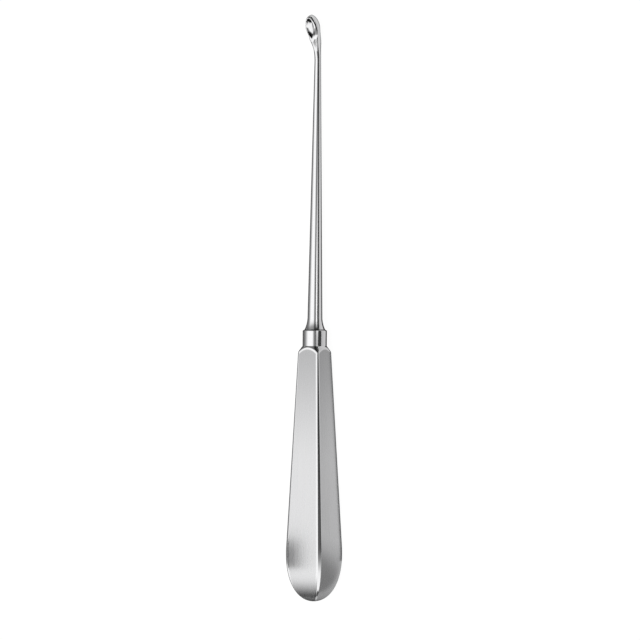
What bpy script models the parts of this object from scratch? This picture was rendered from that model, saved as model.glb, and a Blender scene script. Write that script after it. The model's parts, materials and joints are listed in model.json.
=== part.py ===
"""Ethmoid curette, a bone spoon forged and ground from one bar of steel.

Metres, +Z up. The instrument is modelled along its own X axis, with the heel of
the handle at zero and the tip of the spoon at LENGTH. It is then laid on the
surface z = 0 as it comes to rest, on a handle face and the end of the shank.
"""
import math

import bmesh
import bpy
from mathutils import Vector

MM = 0.001

# Overall
LENGTH = 180.0 * MM
AROUND = 48                       # points round each turned section

# Handle: four flat faces, tapering towards the collar
HANDLE_LENGTH = 76.4 * MM         # heel to the end of the flat faces
FACE_AT_COLLAR = 3.84 * MM        # half the distance across two faces
FACE_TAPER = math.radians(2.56)   # each face to the axis
EDGE_AT_COLLAR = 0.85 * MM        # rounding of the long edges
EDGE_AT_HEEL = 1.58 * MM
EDGE_STEPS = 4
HEEL_LENGTH = 17.0 * MM
HEEL_POWER = 2.1                  # 2 is an ellipse, more is blunter
HEEL_STEPS = 12
RUNOUT_LENGTH = 3.0 * MM          # the faces lift off towards the collar
RUNOUT_RISE = 1.2 * MM
RUNOUT_STEPS = 6

# Collar between handle and shank
FLARE_LENGTH = 1.95 * MM          # cone from the handle down to the collar
FLARE_ANGLE = math.radians(38.0)
COLLAR_RADIUS = 3.72 * MM
COLLAR_LENGTH = 4.58 * MM
SHOULDER_RADIUS = 0.30 * MM       # rounding of the collar's upper end
SHOULDER_TURN = math.radians(58.0)
SHOULDER_FALL = 0.42 * MM         # depth of the bevel after the rounding
FILLET_RADIUS = 9.0 * MM          # hollow from the shoulder to the shank
ARC_STEPS = 6

# Shank: a round taper that leans away from the spoon's opening
SHANK_WIDE = 2.27 * MM            # radius at the collar
SHANK_SLIM = 0.985 * MM           # radius behind the spoon
SHANK_STEPS = 10
LEAN = 1.10 * MM                  # drift of the axis from collar to tip

# Spoon, measured from the tip back along the shank's axis
HEAD_LENGTH = 14.0 * MM
SPOON_TWIST = math.radians(14.0)  # opening turned from the upper handle face
RIM_HEIGHT = 4.38 * MM            # rim plane above the shank's axis at the tip
RIM_SLOPE = 0.25                  # fall of the rim plane towards the shank
BELLY_HEIGHT = 2.70 * MM          # widest level above the shank's axis at the tip
BELLY_SLOPE = 0.17
BELLY_HALF_WIDTH = 2.48 * MM
BELLY_NOSE = 4.0 * MM             # tip to the widest section
CROWN_HEIGHT = 3.00 * MM          # what the rim cut removes, above the belly
BACK_HEIGHT = 0.20 * MM           # back of the spoon above the shank's axis
BACK_NOSE = 3.9 * MM
NOSE_POWER = 1.7                  # 2 is an ellipse, less is more pointed
WIDTH_END = HEAD_LENGTH - 2.8 * MM   # the spoon is as slim as the shank here
BACK_END = 9.0 * MM
CROWN_FADE = 1.5                  # power of the crown's fall to the shank
AXIS_START = 7.0 * MM             # the widest level drops to the axis from here
AXIS_END = HEAD_LENGTH - 1.0 * MM
HEAD_STEPS = 30

# Rim and hollow of the spoon
CHAMFER = 0.22 * MM               # outer bevel of the rim
CHAMFER_BACK = 0.70 * MM
CHAMFER_WIDE = 6.2 * MM           # the bevel is widest here
CHAMFER_ANGLE = math.radians(36.0)
CHAMFER_END = 8.6 * MM            # the bevel has narrowed to nothing here
WEB_CLEAR = HEAD_LENGTH - 3.8 * MM   # the rim's cutter is clear of the web's sides
RIM_CUT_END = HEAD_LENGTH - 3.0 * MM  # the cut has run out of the web by here
CUT_MARGIN = 2.0 * MM             # reach of a cutter past what it cuts
BOWL_FRONT = 1.29 * MM            # tip to the front edge of the opening
BOWL_MIDDLE = 3.9 * MM
BOWL_BACK = 7.3 * MM
BOWL_HALF_WIDTH = 1.66 * MM
BOWL_POINT = 1.45                 # power of the outline's pointed end
BOWL_DEPTH = 0.95 * MM
BOWL_DEEPEST = 3.2 * MM           # tip to the deepest place
BOWL_STEPS = 9
OUTLINE_STEPS = 14
SEARCH_LIMIT = 0.001 * MM         # smallest length that is told apart

STEEL = (0.56, 0.56, 0.57, 1.0)
STEEL_ROUGHNESS = 0.24

SPOON_UP = Vector((0.0, math.sin(SPOON_TWIST), math.cos(SPOON_TWIST)))
SPOON_SIDE = Vector((0.0, -math.cos(SPOON_TWIST), math.sin(SPOON_TWIST)))

COLLAR_START = HANDLE_LENGTH + FLARE_LENGTH
SHOULDER_START = COLLAR_START + COLLAR_LENGTH
SHOULDER_END = SHOULDER_START + SHOULDER_RADIUS * math.sin(SHOULDER_TURN)
SHOULDER_EDGE = COLLAR_RADIUS - SHOULDER_RADIUS * (1.0 - math.cos(SHOULDER_TURN))
FILLET_START = SHOULDER_END + SHOULDER_FALL / math.tan(SHOULDER_TURN)
FILLET_TOP = SHOULDER_EDGE - SHOULDER_FALL
FILLET_RISE = FILLET_TOP - SHANK_WIDE
FILLET_LENGTH = math.sqrt(FILLET_RISE * (2.0 * FILLET_RADIUS - FILLET_RISE))
SHANK_START = FILLET_START + FILLET_LENGTH
SHANK_END = LENGTH - HEAD_LENGTH


def clear_scene():
    for item in list(bpy.data.objects):
        bpy.data.objects.remove(item, do_unlink=True)


def smooth_step(value, start, end):
    share = min(max((value - start) / (end - start), 0.0), 1.0)
    return share * share * (3.0 - 2.0 * share)


def mix(first, second, share):
    return first + (second - first) * share


def nose(distance, reach, power=2.0):
    """Rounded end: 0 at the tip, 1 from reach onwards."""
    left = max(1.0 - distance / reach, 0.0)
    return max(1.0 - left ** power, 0.0) ** (1.0 / power)


def eased(count):
    """Steps from 0 to 1, close together at the start."""
    return [1.0 - math.cos(0.5 * math.pi * i / count) for i in range(count + 1)]


def loft(name, rings, start_tip=None, end_tip=None):
    """Closed mesh through rings of equal length, ended by tips or flat caps."""
    bm = bmesh.new()
    loops = [[bm.verts.new(point) for point in ring] for ring in rings]
    count = len(loops[0])
    for lower, upper in zip(loops, loops[1:]):
        for i in range(count):
            j = (i + 1) % count
            bm.faces.new((lower[i], lower[j], upper[j], upper[i]))
    for loop, tip in ((loops[0], start_tip), (loops[-1], end_tip)):
        if tip is None:
            bm.faces.new(loop)
            continue
        pole = bm.verts.new(tip)
        for i in range(count):
            bm.faces.new((loop[i], loop[(i + 1) % count], pole))
    bmesh.ops.recalc_face_normals(bm, faces=bm.faces)
    mesh = bpy.data.meshes.new(name)
    bm.to_mesh(mesh)
    bm.free()
    item = bpy.data.objects.new(name, mesh)
    bpy.context.collection.objects.link(item)
    return item


def face_distance(x):
    """Half the distance across two faces, before the heel rounds them off."""
    distance = FACE_AT_COLLAR + math.tan(FACE_TAPER) * (HANDLE_LENGTH - x)
    rise = max(x - HANDLE_LENGTH, 0.0) / RUNOUT_LENGTH
    return distance + RUNOUT_RISE * rise * rise


def handle_ring(x, reach, edge):
    """Square section with rounded corners, its faces square to Y and Z."""
    points = []
    for quarter in range(4):
        for step in range(EDGE_STEPS + 1):
            angle = 0.5 * math.pi * (quarter + step / EDGE_STEPS)
            middle = math.pi * (0.5 * quarter + 0.25)
            centre = (reach - edge) * math.sqrt(2.0)
            points.append(Vector((x,
                                  centre * math.cos(middle) + edge * math.cos(angle),
                                  centre * math.sin(middle) + edge * math.sin(angle))))
    return points


def make_handle_faces():
    """The four faces and the heel: everything else is cut to lie inside them."""
    places = [HEEL_LENGTH * share for share in eased(HEEL_STEPS)[1:]]
    places += [HANDLE_LENGTH + RUNOUT_LENGTH * i / RUNOUT_STEPS
               for i in range(RUNOUT_STEPS + 1)]
    rings = []
    for x in places:
        size = nose(x, HEEL_LENGTH, HEEL_POWER)
        edge = mix(EDGE_AT_HEEL, EDGE_AT_COLLAR, min(x / HANDLE_LENGTH, 1.0))
        rings.append(handle_ring(x, face_distance(x) * size, edge * size))
    room = drum_radius() + CUT_MARGIN
    rings.append(handle_ring(places[-1] + CUT_MARGIN, room, EDGE_AT_COLLAR))
    rings.append(handle_ring(LENGTH + CUT_MARGIN, room, EDGE_AT_COLLAR))
    return loft("handle_faces", rings, start_tip=Vector((0.0, 0.0, 0.0)))


def drum_radius():
    """Round blank that holds the whole handle, corners included."""
    return 1.05 * math.sqrt(2.0) * face_distance(0.0)


def turned_profile():
    """Radius along the blank, from the handle's drum to the end of the shank."""
    cone = (drum_radius() - COLLAR_RADIUS) / math.tan(FLARE_ANGLE)
    points = [(-CUT_MARGIN, drum_radius()),
              (COLLAR_START - cone, drum_radius()),
              (COLLAR_START, COLLAR_RADIUS)]
    for i in range(ARC_STEPS + 1):
        turn = SHOULDER_TURN * i / ARC_STEPS
        points.append((SHOULDER_START + SHOULDER_RADIUS * math.sin(turn),
                       COLLAR_RADIUS - SHOULDER_RADIUS * (1.0 - math.cos(turn))))
    for i in range(ARC_STEPS + 1):
        left = FILLET_LENGTH * (1.0 - i / ARC_STEPS)
        rise = FILLET_RADIUS - math.sqrt(FILLET_RADIUS ** 2 - left ** 2)
        points.append((SHANK_START - left, SHANK_WIDE + rise))
    for i in range(1, SHANK_STEPS + 1):
        share = i / SHANK_STEPS
        points.append((mix(SHANK_START, SHANK_END, share),
                       mix(SHANK_WIDE, SHANK_SLIM, share)))
    return points


def axis_point(x):
    """Centre of the turned part, leaning away from the opening past the collar."""
    share = max(x - COLLAR_START, 0.0) / (LENGTH - COLLAR_START)
    return Vector((x, 0.0, 0.0)) - SPOON_UP * (LEAN * share)


def section(x, width, middle, top, bottom):
    """Oval round the axis: half its width, and its widest, top and bottom levels."""
    centre = axis_point(x)
    points = []
    for i in range(AROUND):
        angle = 2.0 * math.pi * i / AROUND
        height = (top - middle) if math.sin(angle) > 0.0 else (middle - bottom)
        points.append(centre + SPOON_SIDE * (width * math.cos(angle))
                      + SPOON_UP * (middle + height * math.sin(angle)))
    return points


def rim_level(t):
    return RIM_HEIGHT - RIM_SLOPE * t


def belly(t):
    """Half width, widest level, top and back of the spoon's blank, t from the tip."""
    width = mix(BELLY_HALF_WIDTH * nose(t, BELLY_NOSE, NOSE_POWER), SHANK_SLIM,
                smooth_step(t, BELLY_NOSE, WIDTH_END))
    middle = BELLY_HEIGHT - BELLY_SLOPE * t
    middle *= 1.0 - smooth_step(t, AXIS_START, AXIS_END)
    crown = middle + CROWN_HEIGHT * nose(t, BELLY_NOSE, NOSE_POWER)
    fade = min(max((HEAD_LENGTH - t) / (HEAD_LENGTH - BELLY_NOSE), 0.0), 1.0)
    top = mix(SHANK_SLIM, crown, fade ** CROWN_FADE)
    back = mix(BACK_HEIGHT, -SHANK_SLIM, smooth_step(t, BACK_NOSE, BACK_END))
    bottom = middle - (middle - back) * nose(t, BACK_NOSE, NOSE_POWER)
    return width, middle, top, bottom


def make_blank():
    """Turned blank with the forged spoon at its end."""
    rings = [section(x, radius, 0.0, radius, -radius) for x, radius in turned_profile()]
    for share in reversed(eased(HEAD_STEPS)[1:-1]):
        t = HEAD_LENGTH * share
        rings.append(section(LENGTH - t, *belly(t)))
    tip = axis_point(LENGTH) + SPOON_UP * BELLY_HEIGHT
    return loft("curette", rings, end_tip=tip)


def on_rim_plane(t, side, lift):
    """Point at t from the tip, side from the middle, lift above the rim plane."""
    return axis_point(LENGTH - t) + SPOON_SIDE * side + SPOON_UP * (rim_level(t) + lift)


def rim_half_width(t):
    """Half the blank's width where the rim plane cuts it."""
    width, middle, top, _ = belly(t)
    reach = (rim_level(t) - middle) / max(top - middle, SEARCH_LIMIT)
    return width * math.sqrt(max(1.0 - reach * reach, 0.0))


def rim_front():
    """Distance from the tip at which the rim plane meets the blank's nose."""
    outside, inside = 0.0, BELLY_NOSE
    while inside - outside > SEARCH_LIMIT:
        t = 0.5 * (outside + inside)
        if rim_half_width(t) > 0.0:
            inside = t
        else:
            outside = t
    return inside


def rim_outline():
    """Outer edge of the rim's land, one side, from the tip back past the web."""
    front = rim_front() + CHAMFER
    width = rim_half_width(BELLY_NOSE) - CHAMFER
    points = []
    for share in eased(OUTLINE_STEPS):
        t = mix(front, BELLY_NOSE, share)
        points.append((t, width * nose(t - front, BELLY_NOSE - front)))
    for i in range(1, OUTLINE_STEPS + 1):
        t = mix(BELLY_NOSE, RIM_CUT_END, i / OUTLINE_STEPS)
        inset = mix(CHAMFER, CHAMFER_BACK, smooth_step(t, BELLY_NOSE, CHAMFER_WIDE))
        inset *= 1.0 - smooth_step(t, CHAMFER_WIDE, CHAMFER_END)
        outset = mix(0.0, SHANK_SLIM, smooth_step(t, CHAMFER_WIDE, WEB_CLEAR))
        points.append((t, rim_half_width(t) - inset + outset))
    return points


def closed_outline(half):
    """Both sides of a half outline as one loop of (t, side)."""
    return half + [(t, -side) for t, side in reversed(half) if side > SEARCH_LIMIT]


def make_rim_cutter():
    """Lid above the rim plane, its skirt sloping down and out as the bevel."""
    drop = CUT_MARGIN * math.tan(CHAMFER_ANGLE)
    base, skirt, lid = [], [], []
    for t, side in closed_outline(rim_outline()):
        away = Vector((min(t - BELLY_NOSE, 0.0), side)).normalized() * CUT_MARGIN
        lift = mix(-drop, CUT_MARGIN, smooth_step(t, WEB_CLEAR, RIM_CUT_END))
        base.append(on_rim_plane(t, side, 0.0))
        skirt.append(on_rim_plane(t + away.x, side + away.y, lift))
        lid.append(on_rim_plane(t + away.x, side + away.y, CUT_MARGIN + CROWN_HEIGHT))
    return loft("rim_cutter", [base, skirt, lid])


def bowl_outline():
    """Edge of the hollow: round at the front, pointed towards the shank."""
    half = []
    for share in eased(OUTLINE_STEPS):
        t = mix(BOWL_FRONT, BOWL_MIDDLE, share)
        half.append((t, BOWL_HALF_WIDTH * nose(t - BOWL_FRONT, BOWL_MIDDLE - BOWL_FRONT)))
    for share in reversed(eased(OUTLINE_STEPS)[:-1]):
        t = mix(BOWL_BACK, BOWL_MIDDLE, share)
        width = nose(BOWL_BACK - t, BOWL_BACK - BOWL_MIDDLE, BOWL_POINT)
        half.append((t, BOWL_HALF_WIDTH * width))
    return closed_outline(half)


def make_bowl_cutter():
    """Hollow of the spoon: its outline shrinks on a parabola as it deepens."""
    outline = bowl_outline()
    rings = [[on_rim_plane(t, side, CUT_MARGIN) for t, side in outline]]
    for i in range(BOWL_STEPS):
        size = 1.0 - i / BOWL_STEPS
        depth = BOWL_DEPTH * (1.0 - size * size)
        rings.append([on_rim_plane(mix(BOWL_DEEPEST, t, size), side * size, -depth)
                      for t, side in outline])
    return loft("bowl_cutter", rings, end_tip=on_rim_plane(BOWL_DEEPEST, 0.0, -BOWL_DEPTH))


def steel():
    material = bpy.data.materials.new("stainless_steel")
    material.use_nodes = True
    shader = material.node_tree.nodes["Principled BSDF"]
    shader.inputs["Base Color"].default_value = STEEL
    shader.inputs["Metallic"].default_value = 1.0
    shader.inputs["Roughness"].default_value = STEEL_ROUGHNESS
    return material


def cut(item, cutter, operation):
    """Boolean with a guide object, which is drawn as a wire and not rendered."""
    cutter.display_type = 'WIRE'
    cutter.hide_render = True
    modifier = item.modifiers.new(cutter.name, 'BOOLEAN')
    modifier.object = cutter
    modifier.operation = operation
    modifier.solver = 'EXACT'


def evaluated_points(item):
    bpy.context.view_layer.update()
    shape = item.evaluated_get(bpy.context.evaluated_depsgraph_get())
    return [item.matrix_world @ vertex.co for vertex in shape.data.vertices]


def resting_edge(points):
    """Ends of the underside's edge, in X and Z, that lies below the handle."""
    hull = []
    for x, z in sorted((point.x, point.z) for point in points):
        while len(hull) > 1:
            (ax, az), (bx, bz) = hull[-2], hull[-1]
            if (bx - ax) * (z - az) - (bz - az) * (x - ax) > 0.0:
                break
            hull.pop()
        hull.append((x, z))
    weight = HANDLE_LENGTH * 0.5
    return next((a, b) for a, b in zip(hull, hull[1:]) if a[0] <= weight < b[0])


def lay_down(parts):
    """Tilt onto the resting edge, then centre the box over the origin at z = 0."""
    stand = bpy.data.objects.new("rest_pose", None)
    bpy.context.collection.objects.link(stand)
    for part in parts:
        part.parent = stand
    (ax, az), (bx, bz) = resting_edge(evaluated_points(parts[0]))
    stand.rotation_euler = (0.0, math.atan2(bz - az, bx - ax), 0.0)
    points = evaluated_points(parts[0])
    low = Vector([min(point[i] for point in points) for i in range(3)])
    high = Vector([max(point[i] for point in points) for i in range(3)])
    stand.location = (-0.5 * (low.x + high.x), -0.5 * (low.y + high.y), -low.z)
    bpy.context.view_layer.update()


def main():
    clear_scene()
    curette = make_blank()
    curette.data.materials.append(steel())
    faces = make_handle_faces()
    rim_cutter = make_rim_cutter()
    bowl_cutter = make_bowl_cutter()
    cut(curette, faces, 'INTERSECT')
    cut(curette, rim_cutter, 'DIFFERENCE')
    cut(curette, bowl_cutter, 'DIFFERENCE')
    curette.data.shade_smooth()
    curette.data.set_sharp_from_angle(angle=math.radians(30.0))
    lay_down([curette, faces, rim_cutter, bowl_cutter])


main()
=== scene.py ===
import json
import math

import bmesh
import bpy
from mathutils import Matrix, Vector

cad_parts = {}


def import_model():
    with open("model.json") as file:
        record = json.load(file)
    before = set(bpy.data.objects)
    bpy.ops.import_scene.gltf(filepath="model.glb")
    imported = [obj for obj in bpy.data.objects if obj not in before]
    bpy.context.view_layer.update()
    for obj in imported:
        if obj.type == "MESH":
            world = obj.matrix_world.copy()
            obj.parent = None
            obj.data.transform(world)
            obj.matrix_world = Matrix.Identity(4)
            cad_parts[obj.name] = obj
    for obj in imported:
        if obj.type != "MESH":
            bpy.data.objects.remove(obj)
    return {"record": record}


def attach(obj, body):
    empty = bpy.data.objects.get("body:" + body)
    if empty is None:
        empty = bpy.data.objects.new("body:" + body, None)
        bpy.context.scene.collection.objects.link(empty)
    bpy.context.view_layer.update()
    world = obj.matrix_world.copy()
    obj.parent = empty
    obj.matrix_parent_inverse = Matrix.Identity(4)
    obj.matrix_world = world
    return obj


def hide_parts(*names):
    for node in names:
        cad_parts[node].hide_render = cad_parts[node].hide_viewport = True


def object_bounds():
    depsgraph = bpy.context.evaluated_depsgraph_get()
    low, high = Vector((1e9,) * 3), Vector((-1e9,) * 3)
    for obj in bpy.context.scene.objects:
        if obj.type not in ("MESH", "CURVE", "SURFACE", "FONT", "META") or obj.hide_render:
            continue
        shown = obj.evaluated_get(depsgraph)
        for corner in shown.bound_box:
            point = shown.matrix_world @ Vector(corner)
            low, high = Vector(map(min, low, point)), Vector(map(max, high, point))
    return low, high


MM = 0.001

# The instrument's own sizes, repeated from its source: heel at 0, tip at LENGTH
LENGTH = 180.0 * MM
HANDLE_LENGTH = 76.4 * MM
FACE_AT_COLLAR = 3.84 * MM
FACE_TAPER = math.radians(2.56)
EDGE_AT_COLLAR = 0.72 * MM
EDGE_AT_HEEL = 1.42 * MM
HEEL_LENGTH = 17.0 * MM
HEEL_POWER = 2.1
RUNOUT_LENGTH = 3.0 * MM
RUNOUT_RISE = 1.2 * MM
FLARE_LENGTH = 1.95 * MM
FLARE_ANGLE = math.radians(38.0)
COLLAR_RADIUS = 3.72 * MM
COLLAR_LENGTH = 4.58 * MM
SHOULDER_RADIUS = 0.30 * MM
SHOULDER_TURN = math.radians(58.0)
SHOULDER_FALL = 0.42 * MM
FILLET_RADIUS = 9.0 * MM
SHANK_WIDE = 2.27 * MM
SHANK_SLIM = 0.985 * MM
LEAN = 1.10 * MM
HEAD_LENGTH = 14.0 * MM
SPOON_TWIST = math.radians(14.0)
RIM_HEIGHT = 4.38 * MM
RIM_SLOPE = 0.25
BELLY_HEIGHT = 2.70 * MM
BELLY_SLOPE = 0.17
BELLY_HALF_WIDTH = 2.48 * MM
BELLY_NOSE = 4.0 * MM
CROWN_HEIGHT = 3.00 * MM
BACK_HEIGHT = 0.20 * MM
BACK_NOSE = 3.9 * MM
NOSE_POWER = 1.7
WIDTH_END = HEAD_LENGTH - 2.8 * MM
BACK_END = 9.0 * MM
CROWN_FADE = 1.5
AXIS_START = 7.0 * MM
AXIS_END = HEAD_LENGTH - 1.0 * MM
CHAMFER = 0.22 * MM
CHAMFER_BACK = 0.70 * MM
CHAMFER_WIDE = 6.2 * MM
CHAMFER_ANGLE = math.radians(36.0)
CHAMFER_END = 8.6 * MM
WEB_CLEAR = HEAD_LENGTH - 3.8 * MM
RIM_CUT_END = HEAD_LENGTH - 3.0 * MM
CUT_MARGIN = 2.0 * MM
BOWL_FRONT = 1.29 * MM
BOWL_MIDDLE = 3.9 * MM
BOWL_BACK = 7.3 * MM
BOWL_HALF_WIDTH = 1.66 * MM
BOWL_POINT = 1.45
BOWL_DEPTH = 0.95 * MM
BOWL_DEEPEST = 3.2 * MM
BOWL_FRONT_SLOPE = math.radians(48.0)
BOWL_BACK_SLOPE = math.radians(32.0)
BOWL_BLEND = 0.3 * MM             # rounding between the hollow's slopes and its floor
MOUNT_ALONG = 45.0 * MM           # heel to the mounts on the handle's faces
SEARCH_LIMIT = 0.001 * MM

# Fineness of the dressed surface
FACE_COLUMNS = 12                 # half a face, up to the rounded edge
NEAR_COLUMNS = 2
EDGE_COLUMNS = 28                 # round one long edge
EDGE_FROM = 38.0                  # degrees from a face's normal
NEAR_FROM = 36.0
HEEL_ROWS = 44
TAPER_ROWS = 26
ARC_ROWS = 64
ARC_FROM = 73.5 * MM
ARC_TO = 79.5 * MM
TURNED_ROWS = 12
SHANK_ROWS = 40
HEAD_ROWS = 70
OUTLINE_STEPS = 40
BOWL_STEPS = 26
LIP_STEPS = 5
BLEND = 0.22 * MM                 # rounding where the collar's flare meets the faces
LIP = 0.07 * MM                   # rounding of the hollow's edge
SHARP_ANGLE = math.radians(30.0)  # edges sharper than this stay crisp
RIDGE_FACING = math.radians(57.5)  # narrow facet ground along the upper ridge
RIDGE_AT_COLLAR = 0.21 * MM       # its depth from the sharp corner
RIDGE_AT_HEEL = 0.62 * MM
RIDGE_ROUNDING = 0.36             # rounding of the facet's edges, share of the others'

SPOON_UP = Vector((0.0, math.sin(SPOON_TWIST), math.cos(SPOON_TWIST)))
SPOON_SIDE = Vector((0.0, -math.cos(SPOON_TWIST), math.sin(SPOON_TWIST)))

COLLAR_START = HANDLE_LENGTH + FLARE_LENGTH
SHOULDER_START = COLLAR_START + COLLAR_LENGTH
SHOULDER_END = SHOULDER_START + SHOULDER_RADIUS * math.sin(SHOULDER_TURN)
SHOULDER_EDGE = COLLAR_RADIUS - SHOULDER_RADIUS * (1.0 - math.cos(SHOULDER_TURN))
FILLET_START = SHOULDER_END + SHOULDER_FALL / math.tan(SHOULDER_TURN)
FILLET_TOP = SHOULDER_EDGE - SHOULDER_FALL
FILLET_RISE = FILLET_TOP - SHANK_WIDE
FILLET_LENGTH = math.sqrt(FILLET_RISE * (2.0 * FILLET_RADIUS - FILLET_RISE))
SHANK_START = FILLET_START + FILLET_LENGTH
SHANK_END = LENGTH - HEAD_LENGTH

# Camera: it looks down at the lying instrument, its length upright in the picture
CAMERA_LENS = 200.0
CAMERA_SENSOR = 36.0
CAMERA_LEAN = math.radians(34.6)  # view from the upper face's normal
FRAME_WIDTH = 196.48 * MM
AIM_ALONG = 86.36 * MM
AIM_ASIDE = 1.62 * MM
CAMERA_ROLL = math.radians(0.16)
CLIP_START = 0.01
CLIP_END = 20.0


def smooth_step(value, start, end):
    share = min(max((value - start) / (end - start), 0.0), 1.0)
    return share * share * (3.0 - 2.0 * share)


def mix(first, second, share):
    return first + (second - first) * share


def soft_least(first, second, reach):
    """Lesser of the two, rounded where they meet."""
    overlap = max(reach - abs(first - second), 0.0) / reach
    return min(first, second) - 0.25 * reach * overlap * overlap


def nose(distance, reach, power=2.0):
    """Rounded end: 0 at the tip, 1 from reach onwards."""
    left = max(1.0 - distance / reach, 0.0)
    return max(1.0 - left ** power, 0.0) ** (1.0 / power)


def eased(count):
    """Steps from 0 to 1, close together at the start."""
    return [1.0 - math.cos(0.5 * math.pi * i / count) for i in range(count + 1)]


def steps(start, end, count):
    """count places after start, evenly spaced up to end."""
    return [mix(start, end, i / count) for i in range(1, count + 1)]


def loft(name, rings, start_tip=None, end_tip=None):
    """Closed mesh through rings of equal length, ended by tips or flat caps."""
    bm = bmesh.new()
    loops = [[bm.verts.new(point) for point in ring] for ring in rings]
    count = len(loops[0])
    for lower, upper in zip(loops, loops[1:]):
        for i in range(count):
            j = (i + 1) % count
            bm.faces.new((lower[i], lower[j], upper[j], upper[i]))
    for loop, tip in ((loops[0], start_tip), (loops[-1], end_tip)):
        if tip is None:
            bm.faces.new(loop)
            continue
        pole = bm.verts.new(tip)
        for i in range(count):
            bm.faces.new((loop[i], loop[(i + 1) % count], pole))
    bmesh.ops.recalc_face_normals(bm, faces=bm.faces)
    mesh = bpy.data.meshes.new(name)
    bm.to_mesh(mesh)
    bm.free()
    item = bpy.data.objects.new(name, mesh)
    bpy.context.collection.objects.link(item)
    return item


def column_angles():
    """Angles round the axis, close together on the four rounded edges."""
    near = [NEAR_FROM + (EDGE_FROM - NEAR_FROM) * i / NEAR_COLUMNS
            for i in range(NEAR_COLUMNS)]
    half = [NEAR_FROM * i / FACE_COLUMNS for i in range(FACE_COLUMNS)] + near
    edge = [mix(EDGE_FROM, 90.0 - EDGE_FROM, i / EDGE_COLUMNS)
            for i in range(EDGE_COLUMNS + 1)]
    quarter = half + edge + [90.0 - angle for angle in reversed(half[1:])]
    return [math.radians(90.0 * turn + angle) for turn in range(4) for angle in quarter]


ANGLES = column_angles()


def face_distance(x):
    """Half the distance across two faces, before the heel rounds them off."""
    distance = FACE_AT_COLLAR + math.tan(FACE_TAPER) * (HANDLE_LENGTH - x)
    rise = max(x - HANDLE_LENGTH, 0.0) / RUNOUT_LENGTH
    return distance + RUNOUT_RISE * rise * rise


def corner_distance(angle, first, second, rounding):
    """Distance from the axis to two planes (facing, level) and their rounded corner."""
    turn = second[0] - first[0]
    along = first[1] - rounding
    across = (second[1] - rounding - along * math.cos(turn)) / math.sin(turn)
    local = angle - first[0]
    if local <= math.atan2(across, first[1]):
        return first[1] / math.cos(local)
    if local >= math.atan2(across + rounding * math.sin(turn),
                           along + rounding * math.cos(turn)):
        return second[1] / math.cos(local - turn)
    middle = along * math.cos(local) + across * math.sin(local)
    return middle + math.sqrt(max(rounding ** 2 - along ** 2 - across ** 2
                                  + middle ** 2, 0.0))


def block_radius(x, angle):
    """Distance from the axis to the handle's faces, edges and ridge facet."""
    size = nose(x, HEEL_LENGTH, HEEL_POWER)
    share = min(x / HANDLE_LENGTH, 1.0)
    reach = face_distance(x) * size
    edge = mix(EDGE_AT_HEEL, EDGE_AT_COLLAR, share) * size
    face, turn = divmod(angle, 0.5 * math.pi)
    first, second = (0.0, reach), (0.5 * math.pi, reach)
    if int(face) != 1:
        return corner_distance(turn, first, second, edge)
    depth = mix(RIDGE_AT_HEEL, RIDGE_AT_COLLAR, share) * size
    corner = reach * (math.cos(RIDGE_FACING) + math.sin(RIDGE_FACING))
    ridge = (RIDGE_FACING, corner - depth)
    rounding = edge * RIDGE_ROUNDING
    return min(corner_distance(turn, first, ridge, rounding),
               corner_distance(turn, ridge, second, rounding))


def turned_radius(x):
    """Radius of the flare, collar, shoulder, hollow and shank."""
    if x < COLLAR_START:
        return COLLAR_RADIUS + math.tan(FLARE_ANGLE) * (COLLAR_START - x)
    if x < SHOULDER_START:
        return COLLAR_RADIUS
    if x < SHOULDER_END:
        fall = SHOULDER_RADIUS ** 2 - (x - SHOULDER_START) ** 2
        return COLLAR_RADIUS - SHOULDER_RADIUS + math.sqrt(fall)
    if x < FILLET_START:
        return SHOULDER_EDGE - math.tan(SHOULDER_TURN) * (x - SHOULDER_END)
    if x < SHANK_START:
        left = SHANK_START - x
        return SHANK_WIDE + FILLET_RADIUS - math.sqrt(FILLET_RADIUS ** 2 - left ** 2)
    return mix(SHANK_WIDE, SHANK_SLIM, (x - SHANK_START) / (SHANK_END - SHANK_START))


def blended_radius(x, angle):
    """The lesser of the faces' and the turned radius, with a rounded meeting."""
    turned = turned_radius(x)
    if x > ARC_TO:
        return turned
    return soft_least(block_radius(x, angle), turned, BLEND)


def axis_point(x):
    """Centre of the turned part, leaning away from the opening past the collar."""
    share = max(x - COLLAR_START, 0.0) / (LENGTH - COLLAR_START)
    return Vector((x, 0.0, 0.0)) - SPOON_UP * (LEAN * share)


def handle_ring(x):
    """Ring round the handle, the collar or the shank."""
    centre = axis_point(x)
    ring = []
    for angle in ANGLES:
        radius = blended_radius(x, angle)
        ring.append(centre + Vector((0.0, radius * math.cos(angle),
                                     radius * math.sin(angle))))
    return ring


def section(x, width, middle, top, bottom):
    """Oval round the axis: half its width, and its widest, top and bottom levels."""
    centre = axis_point(x)
    points = []
    for column in ANGLES:
        angle = math.pi - SPOON_TWIST - column
        height = (top - middle) if math.sin(angle) > 0.0 else (middle - bottom)
        points.append(centre + SPOON_SIDE * (width * math.cos(angle))
                      + SPOON_UP * (middle + height * math.sin(angle)))
    return points


def rim_level(t):
    return RIM_HEIGHT - RIM_SLOPE * t


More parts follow.
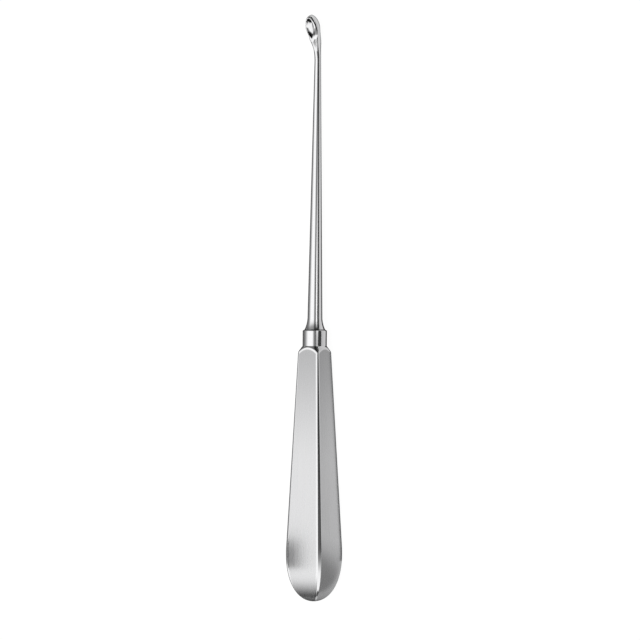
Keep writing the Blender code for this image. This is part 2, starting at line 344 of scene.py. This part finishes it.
def belly(t):
    """Half width, widest level, top and back of the spoon's blank, t from the tip."""
    width = mix(BELLY_HALF_WIDTH * nose(t, BELLY_NOSE, NOSE_POWER), SHANK_SLIM,
                smooth_step(t, BELLY_NOSE, WIDTH_END))
    middle = BELLY_HEIGHT - BELLY_SLOPE * t
    middle *= 1.0 - smooth_step(t, AXIS_START, AXIS_END)
    crown = middle + CROWN_HEIGHT * nose(t, BELLY_NOSE, NOSE_POWER)
    fade = min(max((HEAD_LENGTH - t) / (HEAD_LENGTH - BELLY_NOSE), 0.0), 1.0)
    top = mix(SHANK_SLIM, crown, fade ** CROWN_FADE)
    back = mix(BACK_HEIGHT, -SHANK_SLIM, smooth_step(t, BACK_NOSE, BACK_END))
    bottom = middle - (middle - back) * nose(t, BACK_NOSE, NOSE_POWER)
    return width, middle, top, bottom


def row_places():
    """Places of the rings along the axis, from the heel to the start of the head."""
    places = [HEEL_LENGTH * share for share in eased(HEEL_ROWS)[1:]]
    places += steps(HEEL_LENGTH, ARC_FROM, TAPER_ROWS)
    places += steps(ARC_FROM, ARC_TO, ARC_ROWS)
    places += steps(ARC_TO, SHOULDER_START, TURNED_ROWS)
    places += steps(SHOULDER_START, SHOULDER_END, TURNED_ROWS)
    places += steps(SHOULDER_END, FILLET_START, 2)
    places += steps(FILLET_START, SHANK_START, 2 * TURNED_ROWS)
    places += steps(SHANK_START, SHANK_END, SHANK_ROWS)
    return places


def make_blank():
    """The whole instrument before the spoon is ground and hollowed."""
    rings = [handle_ring(x) for x in row_places()]
    for share in reversed(eased(HEAD_ROWS)[1:-1]):
        t = HEAD_LENGTH * share
        rings.append(section(LENGTH - t, *belly(t)))
    tip = axis_point(LENGTH) + SPOON_UP * BELLY_HEIGHT
    return loft("curette_steel", rings, Vector((0.0, 0.0, 0.0)), tip)


def on_rim_plane(t, side, lift):
    """Point at t from the tip, side from the middle, lift above the rim plane."""
    return axis_point(LENGTH - t) + SPOON_SIDE * side + SPOON_UP * (rim_level(t) + lift)


def rim_half_width(t):
    """Half the blank's width where the rim plane cuts it."""
    width, middle, top, _ = belly(t)
    reach = (rim_level(t) - middle) / max(top - middle, SEARCH_LIMIT)
    return width * math.sqrt(max(1.0 - reach * reach, 0.0))


def rim_front():
    """Distance from the tip at which the rim plane meets the blank's nose."""
    outside, inside = 0.0, BELLY_NOSE
    while inside - outside > SEARCH_LIMIT:
        t = 0.5 * (outside + inside)
        if rim_half_width(t) > 0.0:
            inside = t
        else:
            outside = t
    return inside


def rim_outline():
    """Outer edge of the rim's land, one side, from the tip back past the web."""
    front = rim_front() + CHAMFER
    width = rim_half_width(BELLY_NOSE) - CHAMFER
    points = []
    for share in eased(OUTLINE_STEPS):
        t = mix(front, BELLY_NOSE, share)
        points.append((t, width * nose(t - front, BELLY_NOSE - front)))
    for i in range(1, OUTLINE_STEPS + 1):
        t = mix(BELLY_NOSE, RIM_CUT_END, i / OUTLINE_STEPS)
        inset = mix(CHAMFER, CHAMFER_BACK, smooth_step(t, BELLY_NOSE, CHAMFER_WIDE))
        inset *= 1.0 - smooth_step(t, CHAMFER_WIDE, CHAMFER_END)
        outset = mix(0.0, SHANK_SLIM, smooth_step(t, CHAMFER_WIDE, WEB_CLEAR))
        points.append((t, rim_half_width(t) - inset + outset))
    return points


def closed_outline(half):
    """Both sides of a half outline as one loop of (t, side)."""
    return half + [(t, -side) for t, side in reversed(half) if side > SEARCH_LIMIT]


def make_rim_cutter():
    """Lid above the rim plane, its skirt sloping down and out as the bevel."""
    drop = CUT_MARGIN * math.tan(CHAMFER_ANGLE)
    base, skirt, lid = [], [], []
    for t, side in closed_outline(rim_outline()):
        away = Vector((min(t - BELLY_NOSE, 0.0), side)).normalized() * CUT_MARGIN
        lift = mix(-drop, CUT_MARGIN, smooth_step(t, WEB_CLEAR, RIM_CUT_END))
        base.append(on_rim_plane(t, side, 0.0))
        skirt.append(on_rim_plane(t + away.x, side + away.y, lift))
        lid.append(on_rim_plane(t + away.x, side + away.y, CUT_MARGIN + CROWN_HEIGHT))
    return loft("rim_cutter", [base, skirt, lid])


def bowl_half_width(t):
    """Half width of the hollow: round at the front, pointed towards the shank."""
    if t < BOWL_MIDDLE:
        return BOWL_HALF_WIDTH * nose(t - BOWL_FRONT, BOWL_MIDDLE - BOWL_FRONT)
    return BOWL_HALF_WIDTH * nose(BOWL_BACK - t, BOWL_BACK - BOWL_MIDDLE, BOWL_POINT)


def bowl_outline():
    """Edge of the hollow as one loop of (t, side)."""
    places = [mix(BOWL_FRONT, BOWL_MIDDLE, share) for share in eased(OUTLINE_STEPS)]
    places += [mix(BOWL_BACK, BOWL_MIDDLE, share)
               for share in reversed(eased(OUTLINE_STEPS)[:-1])]
    return closed_outline([(t, bowl_half_width(t)) for t in places])


def bowl_depth(t, side):
    """Depth of the hollow: a trough with sloping ends, dished across."""
    front = math.tan(BOWL_FRONT_SLOPE) * (t - BOWL_FRONT)
    back = math.tan(BOWL_BACK_SLOPE) * (BOWL_BACK - t)
    floor = soft_least(front, BOWL_DEPTH, BOWL_BLEND)
    deepest = max(soft_least(floor, back, BOWL_BLEND), 0.0)
    share = side / max(bowl_half_width(t), SEARCH_LIMIT)
    return deepest * max(1.0 - share * share, 0.0)


def make_bowl_cutter():
    """Hollow of the spoon, its edge slightly rounded."""
    outline = bowl_outline()

    def ring(grow, lift):
        points = []
        for t, side in outline:
            away = Vector((t - BOWL_MIDDLE, side)).normalized() * grow
            points.append(on_rim_plane(t + away.x, side + away.y, lift))
        return points

    # Two wider rings above the rim, then the rounded lip, then the hollow itself
    rings = [ring(2.0 * LIP, CUT_MARGIN), ring(1.3 * LIP, 0.3 * LIP)]
    for i in range(1, LIP_STEPS):
        turn = 0.5 * math.pi * i / LIP_STEPS
        rings.append(ring(LIP * (1.0 - math.sin(turn)), -LIP * (1.0 - math.cos(turn))))
    for i in range(1, BOWL_STEPS + 1):
        size = 1.0 - i / (BOWL_STEPS + 1.0)
        points = []
        for t, side in outline:
            place = mix(BOWL_DEEPEST, t, size)
            points.append(on_rim_plane(place, side * size,
                                       -LIP - bowl_depth(place, side * size)))
        rings.append(points)
    tip = on_rim_plane(BOWL_DEEPEST, 0.0, -LIP - bowl_depth(BOWL_DEEPEST, 0.0))
    return loft("bowl_cutter", rings, end_tip=tip)


def laid_down(record):
    """Matrix from the instrument's own axes to how it lies, read from its mounts."""
    mounts = {mount["name"]: mount for mount in record["mounts"]}
    upper = mounts["handle_upper_face"]
    lower = mounts["handle_lower_face"]
    along = (Vector(upper["axis"]) + Vector(lower["axis"])).normalized()
    aside = Vector((0.0, 1.0, 0.0))
    up = along.cross(aside)
    middle = 0.5 * (Vector(upper["pos_m"]) + Vector(lower["pos_m"]))
    start = middle - along * MOUNT_ALONG
    turn = Matrix((along, aside, up)).transposed()
    return Matrix.Translation(start) @ turn.to_4x4()


def make_curette(place):
    """The finished instrument as one mesh, in the frame's axes."""
    item = make_blank()
    cutters = [make_rim_cutter(), make_bowl_cutter()]
    for cutter in cutters:
        modifier = item.modifiers.new(cutter.name, 'BOOLEAN')
        modifier.object = cutter
        modifier.operation = 'DIFFERENCE'
        modifier.solver = 'EXACT'
    bpy.context.view_layer.update()
    shape = item.evaluated_get(bpy.context.evaluated_depsgraph_get())
    mesh = bpy.data.meshes.new_from_object(shape)
    item.modifiers.clear()
    item.data = mesh
    mesh.name = item.name
    for cutter in cutters:
        bpy.data.objects.remove(cutter, do_unlink=True)
    mesh.transform(place)
    mesh.shade_smooth()
    mesh.set_sharp_from_angle(angle=SHARP_ANGLE)
    return item


def keep_inside(mesh, box):
    """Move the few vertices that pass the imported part's box by microns back onto it."""
    low, high = box
    for vertex in mesh.vertices:
        vertex.co = [min(max(place, least), most)
                     for place, least, most in zip(vertex.co, low, high)]
    mesh.update()


LEVEL_TOP = 4.0  # brightest level that a curve of levels can hold


class Nodes:
    """Small helper that adds nodes to a tree and links their inputs."""

    def __init__(self, tree):
        self.tree = tree
        self.tree.nodes.clear()

    def add(self, kind, values=(), **settings):
        node = self.tree.nodes.new(kind)
        for name, value in settings.items():
            setattr(node, name, value)
        for key, value in dict(values).items():
            self.put(node.inputs[key], value)
        return node

    def put(self, socket, value):
        if isinstance(value, bpy.types.NodeSocket):
            self.tree.links.new(value, socket)
        else:
            socket.default_value = value

    def math(self, operation, *values, clamp=False):
        node = self.add("ShaderNodeMath", enumerate(values), operation=operation,
                        use_clamp=clamp)
        return node.outputs[0]

    def blend(self, share, first, second):
        """Colour between first and second."""
        node = self.tree.nodes.new("ShaderNodeMix")
        node.data_type = 'RGBA'
        for socket, value in zip((node.inputs[0], node.inputs[6], node.inputs[7]),
                                 (share, first, second)):
            self.put(socket, value)
        return node.outputs[2]

    def ramp(self, value, start, end, low=0.0, high=1.0):
        """Smooth change from low to high as value goes from start to end."""
        node = self.add("ShaderNodeMapRange",
                        {0: value, 1: start, 2: end, 3: low, 4: high},
                        interpolation_type='SMOOTHSTEP')
        return node.outputs[0]

    def curve(self, value, low, high, points):
        """Level by straight pieces between points (place, level), up to LEVEL_TOP."""
        share = self.add("ShaderNodeMapRange", {0: value, 1: low, 2: high}).outputs[0]
        node = self.add("ShaderNodeValToRGB", {0: share})
        stops = node.color_ramp.elements
        while len(stops) < len(points):
            stops.new(0.5)
        for stop, (place, level) in zip(stops, points):
            stop.position = (place - low) / (high - low)
            grey = level / LEVEL_TOP
            stop.color = (grey, grey, grey, 1.0)
        return self.math('MULTIPLY', node.outputs[0], LEVEL_TOP)


# Level of the surroundings by angle round the instrument, in degrees from
# overhead towards the camera's side
SKY_LEVELS = [(-180.0, 0.30), (-95.0, 0.34), (-82.0, 0.38), (-69.0, 0.50),
              (-55.0, 0.95), (-45.0, 1.40), (-36.0, 1.85), (-28.0, 2.00), (13.0, 2.00),
              (20.0, 1.20), (28.0, 0.50), (34.0, 0.34), (46.0, 0.32), (54.0, 0.10),
              (62.0, 0.08), (100.0, 0.08), (180.0, 0.08)]
# Share of it by angle along the instrument, from the heel's side to the tip's
END_LEVELS = [(-90.0, 0.13), (-76.0, 0.16), (-60.0, 0.20), (-50.0, 0.27),
              (-43.0, 0.32), (-35.0, 0.50), (-28.0, 0.84), (-22.0, 1.00), (14.0, 1.00),
              (22.0, 0.88), (28.0, 0.72), (33.0, 0.52), (38.5, 0.36), (45.0, 0.28),
              (64.0, 0.17), (90.0, 0.12)]
# Towards the heel's side a bright end wall fills every angle round the instrument,
# between two soft ends in degrees along it
FOOT_LEVEL = 1.90
FOOT_NEAR = (-7.0, -13.0)
FOOT_FAR = (-48.0, -38.0)


def make_world():
    """Soft light all round: a broad softbox overhead, darker towards the horizon.
    The camera sees an even pale grey, since the background's own colour is 0.8."""
    world = bpy.data.worlds.new("studio")
    bpy.context.scene.world = world
    world.use_nodes = True
    nodes = Nodes(world.node_tree)
    place = nodes.add("ShaderNodeTexCoord").outputs["Generated"]
    axes = nodes.add("ShaderNodeSeparateXYZ", {0: place}).outputs
    towards = nodes.math('MULTIPLY', axes[1], -1.0)
    angle = nodes.math('ARCTAN2', towards, axes[2])
    degrees = nodes.math('MULTIPLY', angle, 180.0 / math.pi)
    slant = nodes.math('MULTIPLY', nodes.math('ARCSINE', axes[0]), 180.0 / math.pi)
    level = nodes.curve(degrees, -180.0, 180.0, SKY_LEVELS)
    foot = nodes.math('MULTIPLY', nodes.ramp(slant, *FOOT_NEAR),
                      nodes.ramp(slant, *FOOT_FAR))
    gap = nodes.math('SUBTRACT', FOOT_LEVEL, level)
    level = nodes.math('MULTIPLY_ADD', gap, foot, level)
    share = nodes.curve(slant, -90.0, 90.0, END_LEVELS)
    level = nodes.math('MULTIPLY', level, share)
    seen = nodes.add("ShaderNodeLightPath").outputs["Is Camera Ray"]
    level = nodes.math('MULTIPLY_ADD', nodes.math('SUBTRACT', 1.0, level), seen, level)
    glow = nodes.add("ShaderNodeBackground", {1: level})
    nodes.add("ShaderNodeOutputWorld", {0: glow.outputs[0]})
    return world


FLOOR_COLOUR = (0.82, 0.82, 0.82, 1.0)
FLOOR_SIZE = 6.0
BACKDROP_SHARE = 0.93             # plain white seen by the camera; the rest is lit floor
BACKDROP_LEVEL = 1.04
MIRRORED_SHARE = 0.50             # plain white seen in reflections


def make_floor():
    """Pale floor, plain white to the camera but for the instrument's soft shadow."""
    bm = bmesh.new()
    bmesh.ops.create_grid(bm, x_segments=1, y_segments=1, size=0.5 * FLOOR_SIZE)
    mesh = bpy.data.meshes.new("floor")
    bm.to_mesh(mesh)
    bm.free()
    item = bpy.data.objects.new("floor", mesh)
    bpy.context.collection.objects.link(item)
    material = bpy.data.materials.new("floor_white")
    material.use_nodes = True
    nodes = Nodes(material.node_tree)
    path = nodes.add("ShaderNodeLightPath").outputs
    matt = nodes.add("ShaderNodeBsdfDiffuse", {0: FLOOR_COLOUR})
    glow = nodes.add("ShaderNodeEmission", {0: (1.0, 1.0, 1.0, 1.0), 1: BACKDROP_LEVEL})
    seen = nodes.math('MULTIPLY', path["Is Camera Ray"], BACKDROP_SHARE)
    passed = nodes.math('MULTIPLY', path["Is Transmission Ray"], BACKDROP_SHARE)
    mirrored = nodes.math('MULTIPLY', path["Is Glossy Ray"], MIRRORED_SHARE)
    share = nodes.math('ADD', nodes.math('ADD', seen, passed), mirrored)
    mixed = nodes.add("ShaderNodeMixShader", {0: share, 1: matt.outputs[0],
                                              2: glow.outputs[0]})
    nodes.add("ShaderNodeOutputMaterial", {0: mixed.outputs[0]})
    mesh.materials.append(material)
    return item


def make_card(name, corners_mm, towards, levels):
    """Card beside the instrument that only its reflections show. Corners in mm;
    levels are (place in mm along towards, brightness)."""
    mesh = bpy.data.meshes.new(name)
    mesh.from_pydata([Vector(corner) * MM for corner in corners_mm], [],
                     [range(len(corners_mm))])
    item = bpy.data.objects.new(name, mesh)
    bpy.context.collection.objects.link(item)
    material = bpy.data.materials.new(name)
    material.use_nodes = True
    nodes = Nodes(material.node_tree)
    where = nodes.add("ShaderNodeTexCoord").outputs["Object"]
    along = nodes.add("ShaderNodeVectorMath", {0: where, 1: Vector(towards) / MM},
                      operation='DOT_PRODUCT').outputs["Value"]
    level = nodes.curve(along, levels[0][0], levels[-1][0], levels)
    glow = nodes.add("ShaderNodeEmission", {1: level})
    nodes.add("ShaderNodeOutputMaterial", {0: glow.outputs[0]})
    mesh.materials.append(material)
    item.visible_camera = False
    item.visible_diffuse = False
    item.visible_shadow = False
    return item


ALONG = (1.0, 0.0, 0.0)
ASIDE = (0.0, 1.0, 0.0)
HEEL_SLANT = (0.82, 0.573, 0.0)   # 35 degrees from ALONG towards ASIDE
STRIP_DISTANCE = 80.0             # mm from the instrument's middle line
STRIP_CENTRE = 5.0                # mm above the floor
STRIP_LOW = 61.0                  # degrees from overhead towards the camera's side
STRIP_LOWEST = 70.0
STRIP_HIGH = 49.0


def strip_point(along, degrees):
    """Corner of the long strip, in mm, by its angle from overhead."""
    angle = math.radians(degrees)
    return Vector((along, STRIP_DISTANCE * -math.sin(angle),
                   STRIP_DISTANCE * math.cos(angle) + STRIP_CENTRE))


def make_cards():
    """Dark flags, light strips and walls round the instrument, and dark cards under it as
    painted shadow.
    """
    # On the camera's side: a low dark flag, and the floor in front of it
    make_card("flag_right", [(-75, -33, 0.1), (110, -33, 0.1), (110, -33, 16),
                             (-75, -33, 16)], ALONG, [(-110, 0.07), (110, 0.07)])
    make_card("floor_right", [(-110, -26, 0.03), (110, -26, 0.03), (110, 0, 0.03),
                              (-110, 0, 0.03)], ASIDE,
              [(-26, 0.72), (-21, 0.80), (-15, 0.80), (-9, 0.92), (-7, 0.98), (0, 0.98)])
    # On the far side: a tall grey flag
    make_card("flag_left", [(-600, 9, 0.1), (90, 3.5, 0.1), (90, 500, 0.1),
                            (-600, 500, 0.1)], ALONG, [(-600, 0.28), (110, 0.28)])
    # Painted shadow: dark cards on the floor under the handle and under the shank,
    # standing in for the instrument's shadow there in its reflections
    make_card("painted_shadow_under", [(-78, -7.95, 0.08), (-13, -5.18, 0.08), (-13, 2, 0.08),
                             (-78, 5, 0.08)], ALONG, [(-110, 0.24), (110, 0.24)])
    make_card("painted_shadow_under_shank", [(-13, -5.0, 0.08), (88, -1.4, 0.08), (88, 4, 0.08),
                                   (-13, 4, 0.08)], ALONG, [(-110, 0.14), (110, 0.14)])
    # On the floor round the heel, and a small dark flag above it
    make_card("flag_heel", [(-180, -40, 0.05), (-45, -40, 0.05), (-73, -8.1, 0.05),
                            (-78, -3, 0.05), (-180, -1, 0.05)], HEEL_SLANT,
              [(-120, 0.12), (-95, 0.24), (-84, 0.34), (-76, 0.36), (-73, 0.42),
               (-70.5, 0.60), (-68, 0.78), (-64, 0.90), (-60, 0.90)])
    make_card("floor_heel", [(-140, -4.6, 0.07), (-78, -8.1, 0.07), (-78, -3, 0.07),
                             (-140, -1, 0.07)], ALONG, [(-180, 0.78), (-70, 0.78)])
    make_card("flag_above", [(-85, 16.1, 34.7), (-70, 16.1, 34.7), (-70, 24.0, 28.9),
                             (-85, 24.0, 28.9)], ALONG, [(-110, 0.06), (-50, 0.06)])
    # Beyond the heel, on the camera's side: a wall that darkens towards the handle
    make_card("wall_low", [(-400, -60, 0.1), (-25, -60, 0.1), (-25, -60, 115),
                           (-400, -60, 100)], ALONG,
              [(-400, 1.50), (-115, 1.50), (-104, 1.37), (-94, 0.91), (-85, 0.47),
               (-77, 0.26), (-70, 0.15), (-25, 0.12)])
    make_card("wall_high", [(-400, -60, 100), (-25, -60, 115), (-25, -60, 240),
                            (-400, -60, 240)], ALONG, [(-400, 1.70), (-25, 1.70)])
    # Long light strip over the shank, on the camera's side
    make_card("strip", [strip_point(-22, STRIP_LOW), strip_point(5, STRIP_LOWEST),
                        strip_point(75, STRIP_LOWEST), strip_point(75, STRIP_HIGH),
                        strip_point(-22, STRIP_HIGH)], ALONG,
              [(-22, 0.5), (-10, 0.7), (0, 1.6), (20, 1.6), (45, 0.8), (75, 0.1)])


FILL_POWER = 6.0
FILL_SIZE = 0.8
FILL_HEIGHT = 1.2


def make_fill():
    """Soft lamp overhead for the floor; the metal doesn't mirror it."""
    data = bpy.data.lights.new("fill", 'AREA')
    data.shape = 'SQUARE'
    data.size = FILL_SIZE
    data.energy = FILL_POWER
    item = bpy.data.objects.new("fill", data)
    item.location = (0.0, 0.0, FILL_HEIGHT)
    item.visible_glossy = False
    item.visible_camera = False
    bpy.context.collection.objects.link(item)
    return item


POLISHED_STEEL = (0.60, 0.60, 0.605, 1.0)
SATIN_STEEL = (0.54, 0.54, 0.545, 1.0)
# Painted shade: the satin's colour at the collar, darker than SATIN_STEEL
SATIN_PAINTED_SHADE_AT_COLLAR = (0.34, 0.34, 0.344, 1.0)
SHADED_STEEL = (0.03, 0.03, 0.03, 1.0)
STEEL_EDGE = (0.15, 0.15, 0.15, 1.0)
POLISHED = 0.10                   # roughness
SATIN = 0.28
PAINTED_SHADE_FROM = 40.0 * MM            # painted shade: the satin faces darken from here towards the collar
PAINTED_SHADE_TO = 84.0 * MM
BRUSH_SCALE = (12.0, 1700.0, 1700.0)
BRUSH_DETAIL = 3.0
BRUSH_TONE = 0.12
BRUSH_ROUGH = 0.10
# The satin ends here: by the place across a face, 0 at its middle and 1 at the
# corner, and by the distance inside the collar's flare
SATIN_ACROSS = (0.785, 0.82)
SATIN_INSIDE = (0.45 * MM, 0.75 * MM)
# The hollow's shade: by the distance from its middle, 1 at its edge; by the place
# across it and from the tip for the side left bright; and by the height over the rim.
# SHADE_MIDDLE is where the front half's length gives way to the rear half's
SHADE_INNER = (0.46, 0.66)
SHADE_OUTER = (1.02, 1.08)
BRIGHT_ACROSS = (-0.10, -0.50)
BRIGHT_FRONT = (1.9 * MM, 2.6 * MM)
BRIGHT_BACK = (5.6 * MM, 4.8 * MM)
SHADE_TOP = (-0.02 * MM, -0.10 * MM)
SHADE_BOTTOM = (-1.3 * MM, -1.1 * MM)
SHADE_MIDDLE = (-0.01 * MM, 0.01 * MM)


def hollow_shade(nodes, own, along):
    """Share of shade on the hollow's front, right and rear walls, darker than its left."""
    t = nodes.math('SUBTRACT', LENGTH, along)
    leant = nodes.math('MULTIPLY_ADD', along, LEAN / (LENGTH - COLLAR_START),
                       -LEAN * COLLAR_START / (LENGTH - COLLAR_START))
    aside = nodes.add("ShaderNodeVectorMath", {0: own, 1: SPOON_SIDE},
                      operation='DOT_PRODUCT').outputs["Value"]
    upward = nodes.add("ShaderNodeVectorMath", {0: own, 1: SPOON_UP},
                       operation='DOT_PRODUCT').outputs["Value"]
    level = nodes.math('MULTIPLY_ADD', t, -RIM_SLOPE, RIM_HEIGHT)
    lift = nodes.math('SUBTRACT', nodes.math('ADD', upward, leant), level)
    across = nodes.math('DIVIDE', aside, BOWL_HALF_WIDTH)
    back = nodes.math('SUBTRACT', t, BOWL_MIDDLE)
    reach = nodes.ramp(back, *SHADE_MIDDLE, BOWL_MIDDLE - BOWL_FRONT,
                       BOWL_BACK - BOWL_MIDDLE)
    lengthwise = nodes.math('DIVIDE', back, reach)
    out = nodes.math('SQRT', nodes.math('ADD', nodes.math('POWER', across, 2.0),
                                        nodes.math('POWER', lengthwise, 2.0)))
    ring = nodes.math('MULTIPLY', nodes.ramp(out, *SHADE_INNER),
                      nodes.ramp(out, *SHADE_OUTER, 1.0, 0.0))
    bright = nodes.math('MULTIPLY', nodes.ramp(across, *BRIGHT_ACROSS),
                        nodes.math('MULTIPLY', nodes.ramp(t, *BRIGHT_FRONT),
                                   nodes.ramp(t, *BRIGHT_BACK)))
    inside = nodes.math('MULTIPLY', nodes.ramp(lift, *SHADE_TOP),
                        nodes.ramp(lift, *SHADE_BOTTOM))
    shade = nodes.math('MULTIPLY', ring, nodes.math('SUBTRACT', 1.0, bright))
    return nodes.math('MULTIPLY', shade, inside)


def make_steel(place):
    """Stainless steel: satin on the handle's faces, polished elsewhere. Painted shade
    darkens the satin towards the collar and on the hollow's walls.
    """
    material = bpy.data.materials.new("stainless_steel")
    material.use_nodes = True
    nodes = Nodes(material.node_tree)
    where = nodes.add("ShaderNodeTexCoord").outputs["Object"]
    own = nodes.add("ShaderNodeMapping", {"Vector": where,
                                          "Location": place.to_translation(),
                                          "Rotation": place.to_euler()},
                    vector_type='TEXTURE')
    axes = nodes.add("ShaderNodeSeparateXYZ", {0: own.outputs[0]}).outputs
    across = nodes.math('ABSOLUTE', axes[1])
    upward = nodes.math('ABSOLUTE', axes[2])
    lesser = nodes.math('MINIMUM', across, upward)
    greater = nodes.math('MAXIMUM', across, upward)
    slant = nodes.math('DIVIDE', lesser, greater)
    flat = nodes.ramp(slant, *SATIN_ACROSS, 1.0, 0.0)
    radius = nodes.math('SQRT', nodes.math('ADD', nodes.math('POWER', across, 2.0),
                                           nodes.math('POWER', upward, 2.0)))
    along = axes[0]
    flare = nodes.math('MULTIPLY_ADD', along, -math.tan(FLARE_ANGLE),
                       COLLAR_RADIUS + math.tan(FLARE_ANGLE) * COLLAR_START)
    handle = nodes.ramp(nodes.math('SUBTRACT', flare, radius), *SATIN_INSIDE)
    satin = nodes.math('MULTIPLY', flat, handle)
    rough = nodes.add("ShaderNodeMix", {0: satin, 2: POLISHED, 3: SATIN}).outputs[0]
    # Painted shade: the satin darkens towards the collar; the brush grain then varies its
    # tone
    satin_painted_shade_and_grain = nodes.blend(nodes.ramp(along, PAINTED_SHADE_FROM, PAINTED_SHADE_TO), SATIN_STEEL,
                        SATIN_PAINTED_SHADE_AT_COLLAR)
    brushed = nodes.add("ShaderNodeMapping", {"Vector": own.outputs[0],
                                              "Scale": BRUSH_SCALE}, vector_type='POINT')
    grain = nodes.add("ShaderNodeTexNoise", {"Vector": brushed.outputs[0], "Scale": 1.0,
                                             "Detail": BRUSH_DETAIL}).outputs[0]
    lighter = nodes.math('MULTIPLY_ADD', grain, BRUSH_TONE, 1.0 - 0.5 * BRUSH_TONE)
    satin_painted_shade_and_grain = nodes.add("ShaderNodeVectorMath", {0: satin_painted_shade_and_grain, 3: lighter},
                      operation='SCALE').outputs["Vector"]
    polished = nodes.blend(hollow_shade(nodes, own.outputs[0], along), POLISHED_STEEL,
                           SHADED_STEEL)
    tint = nodes.blend(satin, polished, satin_painted_shade_and_grain)
    streaks = nodes.math('MULTIPLY', nodes.math('SUBTRACT', grain, 0.5), satin)
    rough = nodes.math('MULTIPLY_ADD', streaks, BRUSH_ROUGH, rough)
    shader = nodes.add("ShaderNodeBsdfPrincipled",
                       {"Base Color": tint, "Metallic": 1.0,
                        "Roughness": rough, "Specular Tint": STEEL_EDGE})
    nodes.add("ShaderNodeOutputMaterial", {0: shader.outputs[0]})
    return material


def make_camera(place):
    data = bpy.data.cameras.new("camera")
    data.lens = CAMERA_LENS
    data.sensor_width = CAMERA_SENSOR
    data.clip_start = CLIP_START
    data.clip_end = CLIP_END
    camera = bpy.data.objects.new("camera", data)
    bpy.context.collection.objects.link(camera)
    turn = place.to_3x3()
    along = turn @ Vector((1.0, 0.0, 0.0))
    back = turn @ Vector((0.0, -math.sin(CAMERA_LEAN), math.cos(CAMERA_LEAN)))
    aside = along.cross(back)
    aim = place @ Vector((AIM_ALONG, 0.0, 0.0)) + aside * AIM_ASIDE
    up = along * math.cos(CAMERA_ROLL) - aside * math.sin(CAMERA_ROLL)
    right = up.cross(back)
    distance = FRAME_WIDTH * CAMERA_LENS / CAMERA_SENSOR
    stand = Matrix((right, up, back)).transposed().to_4x4()
    camera.matrix_world = Matrix.Translation(aim + back * distance) @ stand
    bpy.context.scene.camera = camera
    return camera


def main():
    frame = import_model()
    cad_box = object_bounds()
    bpy.context.scene.view_settings.view_transform = 'Standard'
    place = laid_down(frame["record"])
    curette = make_curette(place)
    keep_inside(curette.data, cad_box)
    curette.data.materials.clear()
    curette.data.materials.append(make_steel(place))
    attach(curette, "root")
    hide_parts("curette")
    make_floor()
    make_cards()
    make_fill()
    make_world()
    make_camera(place)


main()
